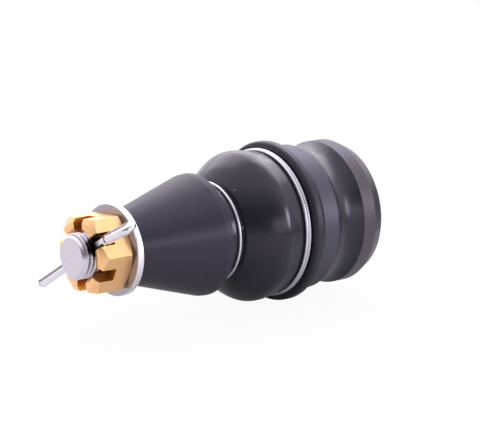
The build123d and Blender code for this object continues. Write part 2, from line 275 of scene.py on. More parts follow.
def housing_finish():
    """Black coat, rubbed to grey on the upper land up to the flange and to a browner grey on the
    rim, but for a band on the near side of the rim's chamfer that is painted black as a painted
    dark reflection. The land, flange and rim are rougher. Turning lines run round the axis, so
    their noise is stretched along x only."""
    coat = dark_finish("housing_coat", (0.02, 0.02, 0.024), 0.34, 0.05)
    x = coat.axis("X")
    past_end = CLOSED_END_X - 1
    lines = coat.noise((9000, 60, 60), 2.0)
    broad = coat.noise((90, 90, 90), 4.0)
    land = coat.band(x, LAND_X + 0.1, GREY_END_X)
    flange = coat.band(x, GREY_END_X, NOSE_X)
    # run: a band on the near side of the chamfer, painted black as a painted dark reflection
    run = coat.both(coat.band(x, past_end, RIM_CHAMFER_X, 0.1),
                    coat.band(coat.axis("Z"), *DARK_REFLECTION_Z, 2.0))
    run = coat.both(run, coat.step(coat.axis("Y"), 0, 1))
    rim = coat.maths("SUBTRACT", coat.band(x, past_end, RIM_LAND_X - 0.05), coat.both(run, 0.95))
    black = coat.blended(broad, (0.010, 0.0095, 0.015), (0.021, 0.0195, 0.029))
    grey = coat.blended(lines, (0.056, 0.053, 0.071), (0.086, 0.082, 0.108))
    brown = coat.blended(lines, (0.068, 0.059, 0.066), (0.102, 0.088, 0.099))
    coat.feed("Base Color", coat.blended(rim, coat.blended(land, black, grey), brown))
    coat.feed("Metallic", coat.maths("ADD", coat.both(land, 0.45), coat.both(rim, 0.4)))
    duller = coat.maths("ADD", coat.both(coat.maths("MAXIMUM", land, flange), 0.15),
                        coat.both(coat.maths("MAXIMUM", rim, run), 0.18))
    coat.feed("Roughness", coat.maths("ADD", coat.ranged(lines, 0.25, 0.33), duller))
    coat.bump(lines, 0.00001, 0.5)
    return coat.material


cove = arc((RIM_LAND_X, RIM_R), ((RIM_LAND_X + LAND_X) / 2, WAIST_R), (LAND_X, RIM_R))
housing_outline = [
    (CLOSED_END_X, LIP_R, 0.3),
    (CLOSED_END_X, RIM_END_R, 0.7),
    (RIM_CHAMFER_X, RIM_R, 0.3),
    (RIM_LAND_X, RIM_R, 0.12),
    *cove[1:-1],
    (LAND_X, RIM_R, 0.1),
    (LAND_X + 0.2, LAND_R, 0.1),
    (RELIEF_X, LAND_R, 0.08),
    (RELIEF_X + 0.3, RELIEF_R, 0.1),
    (FLANGE_X - 0.4, RELIEF_R, 0.15),
    (FLANGE_X, RELIEF_R + 0.4, 0.1),
    (FLANGE_X, FLANGE_R, 0.9),
    (NOSE_X, FLANGE_R, 1.1),
    (NOSE_X, BOOT_SEAT_R, 0.2),
    (MOUTH_X - 2.0, BOOT_SEAT_R, 0.2),
    (MOUTH_X - 1.5, BEAD_R, 0.2),
    (MOUTH_X, BEAD_R, 0.5),
    (MOUTH_X, MOUTH_R, 0.4),
    (SHOULDER_X, SHOULDER_R, 0.2),
    (SHOULDER_X, BORE_R, 0.1),
    (COVER_STEP_X, BORE_R, 0.1),
    (COVER_STEP_X, COVER_R, 0.1),
    (CLOSED_END_X + LIP_T, COVER_R, 0.3),
    (CLOSED_END_X + LIP_T, LIP_R, 0.3),
]
housing = turned("housing_turned", rounded(housing_outline))
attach(housing, "housing")
stand_for(housing, "housing", housing_finish())


# === End cover ===================================================================================
# A plate pressed from sheet steel with a dimple in its middle, zinc plated and dull. It closes the
# housing: it sits on a step in the bore, and the rim is rolled over it.
DIMPLE_R, DIMPLE_DEPTH = 5.4, 1.0
SLIP = 0.05  # between pieces that are put together by hand


def plated_finish(name, colour, roughness):
    """Dull metal whose colour and roughness drift in soft patches of a few millimetres."""
    plate = Finish(name, colour, roughness, 1.0)
    patches = plate.noise((400, 400, 400), 4.0)
    fine = plate.noise((3000, 3000, 3000), 2.0)
    dark = tuple(c * 0.75 for c in colour)
    plate.feed("Base Color", plate.blended(patches, dark, colour))
    plate.feed("Roughness", plate.ranged(patches, roughness - 0.06, roughness + 0.08))
    plate.bump(fine, 0.00002, 0.3)
    return plate.material


cover_out, cover_in = CLOSED_END_X + LIP_T + SLIP, COVER_STEP_X - SLIP
cover_outline = [
    (cover_out, COVER_R - SLIP, 0.2),
    (cover_out, DIMPLE_R + DIMPLE_DEPTH, 0.6),
    (cover_out + DIMPLE_DEPTH, DIMPLE_R, 0.6),
    (cover_out + DIMPLE_DEPTH, 0, 0),
    (cover_in + DIMPLE_DEPTH, 0, 0),
    (cover_in + DIMPLE_DEPTH, DIMPLE_R - DIMPLE_DEPTH, 0.6),
    (cover_in, DIMPLE_R, 0.6),
    (cover_in, COVER_R - SLIP, 0.2),
]
end_cover = turned("end_cover_pressed", rounded(cover_outline))
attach(end_cover, "housing")
stand_for(end_cover, "end_cover", plated_finish("cover_zinc", (0.42, 0.41, 0.42), 0.38))


# === Races, spring, seal and insert ==============================================================
# Moulded acetal bearing rings round the ball, a sprung steel disc behind them, a rubber ring in the
# corner and a stiff steel ring in the boot's small end. All are closed in, and keep their solids.
def moulded_finish(name, colour, roughness):
    """A moulded part: faint mottling in the colour and a fine pebbled skin."""
    skin = Finish(name, colour, roughness)
    patches = skin.noise((300, 300, 300))
    grain = skin.noise((6000, 6000, 6000), 2.0)
    skin.feed("Base Color", skin.blended(patches, tuple(c * 0.85 for c in colour), colour))
    skin.bump(grain, 0.00001, 0.4)
    return skin.material


INNER_FINISHES = {
    ("upper_race", "lower_race"): moulded_finish("race_acetal", (0.80, 0.78, 0.72), 0.4),
    ("cover_seal",): moulded_finish("seal_rubber", (0.02, 0.02, 0.02), 0.55),
    ("preload_spring",): plated_finish("spring_steel", (0.30, 0.30, 0.31), 0.35),
    ("neck_insert",): plated_finish("insert_steel", (0.45, 0.44, 0.45), 0.38),
}
for nodes, finish in INNER_FINISHES.items():
    for node in nodes:
        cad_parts[node].data.materials.clear()
        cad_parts[node].data.materials.append(finish)


# === Ball stud ===================================================================================
# One steel forging, bright zinc plated: ball, neck, collar, shank and an M14 x 1.5 rolled thread.
# The races hold the ball, and a cross-hole near the tip takes the split pin.
BALL_R, POLE_X, POLE_R, NECK_R, COLLAR_R, SHANK_R = 14.5, -13.6, 5.03, 8.5, 11.5, 8.2
NECK_X, FLARE_X, COLLAR_X, SHANK_X, THREAD_X, TIP_X = 14.2, 19.0, 24.2, 27.0, 63.5, 82.0
THREAD_R, PITCH, THREAD_DEPTH, FLANK_SLOPE, ROOT_WIDTH = 7.0, 1.5, 0.88, 1.25, 0.12
THREAD_FADE_X, THREAD_FADE = THREAD_X + 0.5, 2.5
TIP_FACE_R, TIP_CHAMFER_X, CENTRE_R, CENTRE_DEPTH = 5.7, TIP_X - 1.0, 2.5, 0.06
THREAD_STEPS, STUD_AROUND = 14, 192  # steps in one pitch, and round the stud
PIN_X, PIN_TURN, PIN_LEAN = 77.4, np.radians(58), np.radians(2.2)
PIN_HOLE_R, HOLE_REACH = 1.7, 12.0
PIN_HOLE_SHADE_R = (2.7, 3.5)  # the painted shade round the pin's hole is full, then fades out
EYE_SIDE = (3, 4)      # it starts this far along the pin from the stud's axis


def pin_axes():
    """Unit vectors of the pin: along it to the eye, round the stud, and its third direction."""
    out = np.array([0, np.sin(PIN_TURN), np.cos(PIN_TURN)])
    along = out * np.cos(PIN_LEAN) - np.array([np.sin(PIN_LEAN), 0, 0])
    side = np.array([0, np.cos(PIN_TURN), -np.sin(PIN_TURN)])
    return along, side, np.cross(along, side)


def stud_radius(x, angle, base):
    """The stud's radius at x and at an angle. Along the thread it follows a helix: the phase
    x / pitch - angle / turn gives a V with flat crests and roots, which fades in at the start."""
    phase = (x / PITCH - angle / (2 * np.pi)) % 1.0
    ridge = np.clip((1 - np.abs(2 * phase - 1)) * FLANK_SLOPE - ROOT_WIDTH, 0, 1)
    depth = THREAD_DEPTH * np.clip((x - THREAD_FADE_X) / THREAD_FADE, 0, 1)
    cut = THREAD_R - depth * (1 - ridge)
    return np.where(x > THREAD_FADE_X, np.minimum(base, cut), base)


def stud_finish():
    """Bright zinc with a cool lilac cast, painted darker in the thread's roots as painted shade,
    and painted black round the pin's hole on the side of its eye as painted shade. A point is off
    the pin's line by the length of the cross product of its offset and the line's unit vector."""
    plate = Finish("stud_zinc", (0.74, 0.70, 0.78), 0.24, 1.0)
    patches = plate.noise((500, 500, 500), 4.0)
    lines = plate.noise((12000, 150, 150), 2.0)
    # the thread's roots are painted darker: painted shade in the valleys
    root = plate.both(plate.step(plate.radius(), THREAD_R - 0.15, THREAD_R - 0.8),
                      plate.band(plate.axis("X"), THREAD_X + 1, TIP_X - 1))
    bright = plate.blended(patches, (0.62, 0.58, 0.64), (0.74, 0.70, 0.765))
    roots_shaded = plate.blended(root, bright, (0.24, 0.22, 0.25))
    eye_way = pin_axes()[0]
    offset = plate.vector("SUBTRACT", plate.place, pin_centre * MM)
    off_pin = plate.vector("LENGTH", plate.vector("CROSS_PRODUCT", offset, eye_way))
    eye_side = plate.step(plate.vector("DOT_PRODUCT", offset, eye_way), *EYE_SIDE)
    # painted shade round the pin's hole, on the side of the pin's eye
    pin_hole_shade = plate.both(plate.step(off_pin, *PIN_HOLE_SHADE_R[::-1]), eye_side)
    plate.feed("Base Color", plate.blended(pin_hole_shade, roots_shaded, (0.02, 0.016, 0.014)))
    plate.feed("Roughness", plate.ranged(lines, 0.2, 0.34))
    plate.bump(lines, 0.000008, 0.4)
    return plate.material


def stud_mesh():
    """The stud's outline turned about X, with the thread's helix worked into its radius. The
    ball's outline is r = root of (its radius squared - x squared)."""
    edge_x = NECK_X - 2.8
    outline = [(POLE_X, 0, 0), (POLE_X, POLE_R, 0.3)]
    outline += arc((POLE_X, POLE_R), (0, BALL_R), (edge_x, np.sqrt(BALL_R**2 - edge_x**2)), 48)[1:]
    outline += [
        (NECK_X - 1.2, NECK_R + 0.08, 0.5),
        (NECK_X, NECK_R, 1.0),
        (FLARE_X, NECK_R, 2.0),
        (FLARE_X + 3.4, NECK_R + 0.95, 2.0),
        (COLLAR_X, COLLAR_R, 0.5),
        (SHANK_X, COLLAR_R, 0.3),
        (SHANK_X, SHANK_R, 0.1),
        (THREAD_X - 1.2, SHANK_R, 0.3),
        (THREAD_X, THREAD_R, 0.3),
    ]
    plain = rounded(outline, closed=False)
    threaded_x = np.arange(THREAD_X + 0.2, TIP_CHAMFER_X, PITCH / THREAD_STEPS)
    threaded = np.stack([threaded_x, 0 * threaded_x + THREAD_R], 1)
    centre_x = TIP_X - CENTRE_DEPTH
    tip = rounded([(TIP_CHAMFER_X, THREAD_R, 0), (TIP_CHAMFER_X + 0.1, THREAD_R, 0.2),
                   (TIP_X, TIP_FACE_R, 0.35), (TIP_X, CENTRE_R, 0.3),
                   (centre_x, CENTRE_R - 0.3, 0.1), (centre_x, 0, 0)], closed=False)
    profile = np.vstack([plain, threaded, tip])
    angle = np.linspace(0, 2 * np.pi, STUD_AROUND, endpoint=False)
    x = profile[:, :1] + 0 * angle
    r = stud_radius(x, angle, profile[:, 1:2] + 0 * angle)
    grid = np.stack([x, r * np.sin(angle), r * np.cos(angle)], -1)
    return surface("ball_stud_forged", grid)


def drilled(piece, start, end, radius):
    """Cut a round hole from start to end through a piece, and keep the cut mesh."""
    middle = Vector((np.array(start) + end) / 2 * MM)
    bpy.ops.mesh.primitive_cylinder_add(radius=radius * MM, vertices=48, location=middle,
                                        depth=float(np.linalg.norm(np.subtract(end, start))) * MM)
    drill = bpy.context.object
    drill.rotation_mode = "QUATERNION"
    drill.rotation_quaternion = Vector(np.subtract(end, start)).to_track_quat("Z", "Y")
    cut = piece.modifiers.new("hole", "BOOLEAN")
    cut.operation, cut.object, cut.solver = "DIFFERENCE", drill, "EXACT"
    evaluated = piece.evaluated_get(bpy.context.evaluated_depsgraph_get())
    mesh = bpy.data.meshes.new_from_object(evaluated)
    piece.modifiers.clear()
    piece.data = mesh
    bpy.data.objects.remove(drill)


pin_centre = np.array([PIN_X, 0, 0])
half_hole = HOLE_REACH * pin_axes()[0]
stud = stud_mesh()
drilled(stud, pin_centre - half_hole, pin_centre + half_hole, PIN_HOLE_R)
stud.data.set_sharp_from_angle(angle=np.radians(50))
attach(stud, "stud")
stand_for(stud, "ball_stud", stud_finish())


# === Taper sleeve ================================================================================
# The black cone that seats in the knuckle: turned steel with a satin black coat. Its hub runs
# inside the boot's small end, and the nut clamps it against the stud's collar.
CONE_X, CONE_R, TAPER_X, TAPER_R, FRONT_R, HUB_R = 35.3, 18.8, 38.0, 18.6, 10.4, 12.3
WASHER_X = 65.4


def sleeve_finish():
    """Satin black coat. Fine lines run round the cone and faint streaks along it, and the turned
    ground under the coat draws highlights out along the axis."""
    coat = dark_finish("sleeve_coat", (0.035, 0.034, 0.04), 0.36, 0.16)
    lines = coat.noise((6000, 80, 80), 2.0)
    streaks = coat.noise((25, 900, 900), 4.0)
    coat.feed("Base Color", coat.blended(streaks, (0.023, 0.0215, 0.033), (0.033, 0.031, 0.045)))
    coat.feed("Roughness", coat.ranged(lines, 0.38, 0.46))
    coat.bump(lines, 0.000012, 0.5)
    coat.set(coat.shader, **{"Anisotropic": 0.9, "Anisotropic Rotation": 0.25})
    coat.feed("Tangent", coat.node("ShaderNodeTangent",
                                   settings={"direction_type": "RADIAL", "axis": "X"}).outputs[0])
    return coat.material


sleeve_outline = [
    (SHANK_X + SLIP, SHANK_R + SLIP, 0.2),
    (SHANK_X + SLIP, HUB_R, 0.4),
    (CONE_X, HUB_R, 0.3),
    (CONE_X, CONE_R, 0.8),
    (TAPER_X, TAPER_R, 2.0),
    (WASHER_X, FRONT_R, 0.4),
    (WASHER_X, SHANK_R + SLIP, 0.2),
]
sleeve = turned("taper_sleeve_turned", rounded(sleeve_outline, 6))
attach(sleeve, "stud")
stand_for(sleeve, "taper_sleeve", sleeve_finish())


# === Washer ======================================================================================
# A flat washer stamped from sheet steel, bright zinc plated and tumbled, so its edges are round.
# It lies between the taper sleeve and the nut.
WASHER_R, WASHER_BORE_R, WASHER_T = 14.0, 7.5, 2.3


def washer_finish():
    """Zinc with painted light: bright on the rim as a painted reflection and duller on the faces as
    painted shade, with a soft step in between.
    """
    plate = Finish("washer_zinc", (0.64, 0.62, 0.66), 0.3, 0.85)
    # the faces are painted darker and the rim brighter: painted shade and painted reflection
    face = plate.blended(plate.noise((300, 300, 300)), (0.38, 0.365, 0.395), (0.45, 0.435, 0.47))
    rim = plate.step(plate.radius(), WASHER_R - 0.3, WASHER_R - 0.1)
    plate.feed("Base Color", plate.blended(rim, face, (0.88, 0.86, 0.90)))
    return plate.material


washer_outline = [
    (WASHER_X, WASHER_BORE_R, 0.3),
    (WASHER_X, WASHER_R, 0.4),
    (WASHER_X + WASHER_T, WASHER_R, 0.55),
    (WASHER_X + WASHER_T, WASHER_BORE_R, 0.3),
]
washer = turned("washer_stamped", rounded(washer_outline))
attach(washer, "stud")
stand_for(washer, "washer", washer_finish())


# === Castle nut ==================================================================================
# A steel hexagon nut, 22 mm across flats, yellow zinc plated. Its corners are chamfered at both
# ends, and six slots are milled down from its front face, one in the middle of each flat.
NUT_AF, NUT_H, NUT_FACE_R, NUT_BACK_R, NUT_MOUTH_R = 22.0, 11.2, 9.9, 10.8, 8.3
NUT_X = WASHER_X + WASHER_T
SLOT_HALF, SLOT_FLOOR, STUD_TURN = 2.1, 5.6, np.radians(-5.2)
CHAMFER_SLOPE = np.tan(np.radians(30))
SIXTH, SLOT_POINTS, PRONG_POINTS = np.pi / 3, 5, 13
TUMBLED_EDGE, SHARPEST = 0.22, np.radians(32)
SLOT_SHADE_R = (7.5, 10.5)      # painted shade in a slot goes from brown to gold between these radii
PIN_SLOT_SHADE_FROM = (6.2, 6.8)   # the painted black shade in the pin's slot starts this far along the pin


def nut_angles(radius):
    """Angles round the nut at a radius. In each sixth of a turn they run over the slot, then over
    the prong, so the slot's walls stay flat: a wall lies where r sin a is half the slot's width.
    Each wall's angle is there twice, once for its foot and once for its top."""
    edge = np.arcsin(SLOT_HALF / radius)
    in_slot = np.linspace(-1, 1, SLOT_POINTS) * edge
    prong = edge + np.linspace(0, 1, PRONG_POINTS) * (SIXTH - 2 * edge)
    return np.hstack([np.hstack([in_slot, prong]) + k * SIXTH for k in range(6)])


def nut_mesh():
    """Rows run up the bore, out over the front, down the flats and in over the back. The flats
    lie at r = half the width across flats / cos(angle from the flat's middle), and the chamfer
    cone cuts the corners, so its edge is a curve on each flat."""
    floor, front = NUT_X + SLOT_FLOOR, NUT_X + NUT_H
    bore_r = THREAD_R + SLIP
    mouth_rise = NUT_MOUTH_R - bore_r
    mouth_x = front - mouth_rise
    raised = np.tile(np.arange(SLOT_POINTS + PRONG_POINTS) >= SLOT_POINTS, 6)
    # each row: share of the way from an inner radius to the flats, that radius, stretch of the
    # profile, and share of the way along the stretch
    rows = [(0, bore_r, "rise", part) for part in (0, 0.5, 1)]
    rows += [(0, bore_r + part * mouth_rise, "mouth", part) for part in (0, 0.5, 1)]
    rows += [(0, NUT_MOUTH_R + part * (NUT_FACE_R - NUT_MOUTH_R), "front", 0) for part in (0.5, 1)]
    rows += [(part, NUT_FACE_R, "cone", part) for part in np.linspace(0, 1, 7)[1:]]
    rows += [(1, NUT_FACE_R, "fall", part) for part in (0.25, 0.5, 0.75, 1)]
    rows += [(1, NUT_FACE_R, "lower", part) for part in (0.5, 1)]
    rows += [(part, NUT_BACK_R, "back_cone", part) for part in (0.75, 0.5, 0.25, 0)]
    rows += [(0, bore_r + 0.6, "back", 0), (0, bore_r, "back", 0)]
    grid = []
    for share, inner_r, stretch, part in rows:
        wall_r = inner_r + share * (NUT_AF / 2 - inner_r)
        for _ in range(4):  # the radius at the slot's wall settles
            angles = nut_angles(wall_r)
            flat = NUT_AF / 2 / np.cos((angles + SIXTH / 2) % SIXTH - SIXTH / 2)
            radius = inner_r + share * (flat - inner_r)
            wall_r = radius[SLOT_POINTS - 1]
        chamfer_x = front - (flat - NUT_FACE_R) * CHAMFER_SLOPE
        low_x = NUT_X + (flat - NUT_BACK_R) * CHAMFER_SLOPE
        top = {
            "rise": NUT_X + part * (mouth_x - NUT_X),
            "mouth": mouth_x + part * mouth_rise,
            "front": front,
            "cone": front - part * (front - chamfer_x),
            "fall": chamfer_x + part * (floor - chamfer_x),
            "lower": floor + part * (low_x - floor),
            "back_cone": NUT_X + part * (low_x - NUT_X),
            "back": NUT_X,
        }[stretch] + 0 * angles
        x = np.where(raised, top, np.minimum(top, floor))
        turn = angles + STUD_TURN
        grid.append(np.stack([x, radius * np.sin(turn), radius * np.cos(turn)], -1))
    return surface("castle_nut_milled", np.array(grid), wrap_rows=True)


def nut_finish():
    """Yellow zinc with a fine grain. The slots carry painted shade, brown at the bore to gold at
    the flats, and the one that holds the pin's eye side is painted black as deep shade. A slot is
    above its floor and where r sin(angle from its middle) is under half its width."""
    plate = Finish("nut_zinc", (0.95, 0.56, 0.24), 0.3, 0.9)
    patches = plate.noise((260, 260, 260))
    grain = plate.noise((5000, 5000, 5000), 2.0)
    angle = plate.maths("ADD", plate.maths("ARCTAN2", plate.axis("Y"), plate.axis("Z")),
                        2 * np.pi - STUD_TURN)
    off_slot = plate.maths("SINE", plate.maths("PINGPONG", angle, SIXTH / 2))
    across = plate.both(plate.radius(), off_slot)
    floor = NUT_X + SLOT_FLOOR
    slot = plate.both(plate.step(across, SLOT_HALF + 0.1, SLOT_HALF + 0.02),
                      plate.step(plate.axis("X"), floor - 0.1, floor))
    along_pin = plate.vector("DOT_PRODUCT", plate.place, pin_axes()[0])
    # the slot that holds the pin's eye side is painted black as deep painted shade
    painted_shade = plate.both(slot, plate.step(along_pin, *PIN_SLOT_SHADE_FROM))
    gold = plate.blended(patches, (0.97, 0.53, 0.20), (1.0, 0.67, 0.35))
    # brown is painted shade, darker deeper in the slots
    brown = plate.blended(plate.step(plate.radius(), *SLOT_SHADE_R), (0.48, 0.18, 0.035),
                          (0.86, 0.43, 0.08))
    zinc = plate.blended(slot, gold, brown)
    plate.feed("Base Color", plate.blended(painted_shade, zinc, (0.02, 0.014, 0.01)))
    plate.feed("Roughness", plate.ranged(patches, 0.26, 0.4))
    plate.bump(grain, 0.00001, 0.35)
    return plate.material


nut = nut_mesh()
edges = nut.modifiers.new("tumbled_edges", "BEVEL")
edges.width, edges.segments = TUMBLED_EDGE * MM, 3
edges.limit_method, edges.angle_limit = "ANGLE", SHARPEST
weight = nut.modifiers.new("flat_shading", "WEIGHTED_NORMAL")
weight.keep_sharp = True
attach(nut, "stud")
stand_for(nut, "castle_nut", nut_finish())


# === Split pin ===================================================================================
# Half-round wire, bright plated, folded flat side to flat side into two straight legs and an eye.
# It goes through the nut's slots and the stud's hole, and its eye is knocked over.
PIN_R, PIN_GAP, LEG_REACH, LEG_STEPS = 1.35, 0.05, (25.0, 27.0), 19
EYE_R, EYE_START, EYE_OPEN, EYE_REACH, EYE_TURN = 1.5, 12.3, 3.2, 25.7, np.radians(-62)
BEND, BEND_R = np.radians(5.0), 5.0
SEAM_HEIGHT, SEAM_START = -1.0, -8.0  # the painted shade line's height on the pin and its start along it
SHANK_SHADE = (8.5, 11.5)  # the painted shade on the pin fades out along this stretch


def pin_path():
    """The wire's flat face in the plane of the eye: (along, across) points, from one leg's tip,
    out over two opposite arcs, round the eye, and back."""
    lift = EYE_R - PIN_GAP
    half = 2 * np.arctan(lift / EYE_OPEN)
    bend_r = EYE_OPEN / 2 / np.sin(half)
    t = half * np.linspace(0, 1, 8)
    opens = EYE_START + BEND * BEND_R
    out = np.stack([opens + bend_r * np.sin(t), PIN_GAP + bend_r * (1 - np.cos(t))], 1)
    back = np.array([opens + EYE_OPEN, EYE_R])[None] - (out[::-1] - [opens, PIN_GAP])
    round_t = np.linspace(np.pi / 2, 0, 12)
    centre = EYE_REACH + BEND * BEND_R - PIN_R - EYE_R
    eye = np.stack([centre + EYE_R * np.cos(round_t), EYE_R * np.sin(round_t)], 1)
    half_path = np.vstack([out, back[1:], eye])
    mirrored = half_path[::-1][1:] * [1, -1]
    legs = [np.stack([np.linspace(-reach, EYE_START, LEG_STEPS, endpoint=False),
                      np.full(LEG_STEPS, gap)], 1)
            for reach, gap in zip(LEG_REACH, (PIN_GAP, -PIN_GAP))]
    return np.vstack([legs[0], half_path, mirrored, legs[1][::-1]])


def bent(reach, height):
    """Knock the eye over: past its start the pin follows an arc of radius BEND_R through BEND,
    then runs straight. The height off the pin's middle is carried along, square to the arc."""
    angle = np.clip((reach - EYE_START) / BEND_R, 0, BEND)
    rest = reach - EYE_START - BEND_R * angle
    inside = BEND_R - height
    return (EYE_START + inside * np.sin(angle) + rest * np.cos(angle),
            BEND_R - inside * np.cos(angle) + rest * np.sin(angle))


def wire_axes():
    """Unit vectors of the folded wire: along the pin, from leg to leg, and square to both."""
    along, side, third = pin_axes()
    across = side * np.cos(EYE_TURN) + third * np.sin(EYE_TURN)
    return along, across, np.cross(along, across)


def pin_mesh():
    """Carry a half-round section along the path: the section's first axis points out of the fold
    and its second lies along the pin's normal. Its two corners are rounded, and at the wire's
    ends it shrinks to a point, which closes them."""
    path = pin_path()
    step = np.gradient(path, axis=0)
    tangent = step / np.linalg.norm(step, axis=1)[:, None]
    outward = np.stack([-tangent[:, 1], tangent[:, 0]], 1)
    half_round = arc((0.01, -PIN_R), (PIN_R, 0), (0.01, PIN_R), 16)[1:-1]
    section = rounded([(0, -PIN_R, 0.25), *half_round, (0, PIN_R, 0.25)], 3)
    size = np.ones((len(path), 1, 1))
    size[[0, -1]] = 0.0
    middle = np.array([PIN_R * 0.45, 0.0])
    cut = middle + (section - middle) * size
    plane = path[:, None] + outward[:, None] * cut[:, :, :1]
    along, across, normal = wire_axes()
    reach, low = bent(plane[..., 0], cut[:, :, 1])
    grid = (pin_centre + reach[..., None] * along + plane[..., 1:] * across
            + low[..., None] * normal)
    return surface("cotter_pin_folded", grid)


def pin_finish():
    """Bright plating with faint waves from drawing, painted dark as painted shade where the eye's
    side leaves the stud, and a painted shade line on one side where the two legs meet."""
    plate = Finish("pin_bright", (0.80, 0.78, 0.82), 0.2, 1.0)
    along, _, normal = wire_axes()
    offset = plate.vector("SUBTRACT", plate.place, pin_centre * MM)
    reach = plate.vector("DOT_PRODUCT", offset, along)
    height = plate.vector("DOT_PRODUCT", offset, normal)
    # seam: painted shade in the gap between the two legs
    seam = plate.both(plate.step(height, SEAM_HEIGHT + 0.15, SEAM_HEIGHT),
                      plate.step(reach, SEAM_START, SEAM_START - 1))
    # painted shade on the shank where it lies in the slot near the stud
    shank_shade = plate.both(plate.step(reach, *SHANK_SHADE[::-1]), plate.step(reach, *EYE_SIDE))
    patches = plate.noise((700, 700, 700))
    bright = plate.blended(patches, (0.72, 0.70, 0.74), (0.86, 0.84, 0.88))
    painted_shade = plate.blended(shank_shade, bright, (0.12, 0.115, 0.12))
    plate.feed("Base Color", plate.blended(seam, painted_shade, (0.07, 0.065, 0.07)))
    plate.bump(patches, 0.00003, 0.4)
    return plate.material


pin = pin_mesh()
pin.data.set_sharp_from_angle(angle=np.radians(60))
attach(pin, "stud")
stand_for(pin, "cotter_pin", pin_finish())


# === Dust boot ===================================================================================
# Black moulded rubber from the housing's nose to the sleeve's hub, gripped by a wire ring at each
# end: a seat lip with a groove, a band, one wide bulge, and a thin neck with a groove.
BOOT_END_X, BOOT_END_R, BOOT_HUB_R, RING_GROOVE_R = 33.4, 15.05, 13.15, 14.65
BOOT_SEAT_X, BOOT_SEAT_END_X, BOOT_GRIP_R, LARGE_GROOVE_R = 8.65, 11.6, 19.9, 21.85


def flowing(points, steps=10):
    """A smooth curve through points: each span is a cubic whose slopes at its ends are half the
    chord between the neighbours on either side."""
    p = np.array(points, float)
    slope = np.vstack([p[1] - p[0], (p[2:] - p[:-2]) / 2, p[-1] - p[-2]])
    t = np.linspace(0, 1, steps, endpoint=False)[None, :, None]
    a, b, m, n = p[:-1, None], p[1:, None], slope[:-1, None], slope[1:, None]
    curve = ((2 * t**3 - 3 * t**2 + 1) * a + (t**3 - 2 * t**2 + t) * m
             + (3 * t**2 - 2 * t**3) * b + (t**3 - t**2) * n)
    return [(x, r, 0.0) for x, r in np.vstack([curve.reshape(-1, 2), p[-1:]])]


def boot_finish():
    """Moulded rubber: near black, glossy, with a fine grain, faint bloom and a few dust specks,
    which are the peaks of a smooth noise."""
    rubber = dark_finish("boot_rubber", (0.018, 0.018, 0.02), 0.42, 0.06)
    bloom = rubber.noise((160, 160, 160), 4.0)
    grain = rubber.noise((5000, 5000, 5000))
    specks = rubber.ranged(rubber.noise((900, 900, 900), 0.0), 0, 1, 0.885, 0.895)
    skin = rubber.blended(bloom, (0.010, 0.0094, 0.015), (0.018, 0.017, 0.026))
    rubber.feed("Base Color", rubber.blended(specks, skin, (0.25, 0.25, 0.26)))
    rubber.feed("Roughness", rubber.ranged(bloom, 0.18, 0.25))
    rubber.bump(grain, 0.00002, 0.5)
    return rubber.material


band_curve = [(11.5, 21.9), (11.9, 22.3), (12.6, 22.52), (14.5, 22.8), (16.8, 23.18)]
bulge_curve = [(17.8, 23.31), (18.8, 23.3), (20.6, 22.95), (23.0, 21.7), (26.2, 19.3),
               (28.6, 16.8), (29.5, 15.4)]
inside_curve = [(28.9, 13.6), (27.4, 15.4), (24.8, 18.2), (21.5, 20.4), (17.5, 21.5), (14.8, 20.75)]
boot_outline = [
    (BOOT_SEAT_X, BOOT_GRIP_R, 0.2),
    (BOOT_SEAT_X, LARGE_GROOVE_R - 0.35, 0.3),
    (BOOT_SEAT_X + 0.35, LARGE_GROOVE_R, 0.1),
    (BOOT_SEAT_END_X - 0.4, LARGE_GROOVE_R, 0.1),
    *flowing(band_curve),
    (17.3, 23.3, 0.2),
    *flowing(bulge_curve),
    (29.9, RING_GROOVE_R, 0.1),
    (31.1, RING_GROOVE_R, 0.2),
    (31.6, BOOT_END_R, 0.3),
    (BOOT_END_X, BOOT_END_R, 0.4),
    (BOOT_END_X, BOOT_HUB_R, 0.2),
    (29.4, BOOT_HUB_R, 0.2),
    *flowing(inside_curve),
    (BOOT_SEAT_END_X, 20.7, 0.2),
    (BOOT_SEAT_END_X, BOOT_GRIP_R, 0.2),
]
boot = turned("dust_boot_moulded", rounded(boot_outline, 4))
stand_for(boot, "dust_boot", boot_finish())
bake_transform(boot)


# === Boot rings ==================================================================================
# Bright spring wire wound round the boot: two turns side by side at the housing, each end tapered
# off, and one welded turn at the neck.
RING_LARGE_X, RING_LARGE_R, RING_SMALL_X, RING_SMALL_R, WIRE_R = 9.5, 22.9, 30.5, 15.6, 0.5
COIL_PITCH, COIL_START, JOG = 0.97, np.radians(290), (5.7, 6.8)
wire_angle = np.linspace(0, 2 * np.pi, 20, endpoint=False)


def wire_coil(name, x, outer_r):
    """Round wire in two flat turns: its centre runs at the same radius all the way, and steps
    over by one pitch between the jog's two angles, by pitch (3 t^2 - 2 t^3). The wire's thickness
    rises as a sine at one end and falls as a cosine at the other."""
    count, end_count = 420, 5
    a = np.linspace(0, 4 * np.pi, count)
    t = np.clip((a - JOG[0]) / (JOG[1] - JOG[0]), 0, 1)
    offset = COIL_PITCH * t * t * (3 - 2 * t)
    dome = np.linspace(0, np.pi / 2, end_count)
    thick = np.r_[np.sin(dome), np.ones(count - 2 * end_count), np.cos(dome)][:, None] * WIRE_R
    radius = outer_r - WIRE_R + thick * np.cos(wire_angle)
    along_x = x + offset[:, None] + thick * np.sin(wire_angle)
    turn = (a + COIL_START)[:, None]
    grid = np.stack([along_x, radius * np.sin(turn), radius * np.cos(turn)], -1)
    return surface(name, grid)


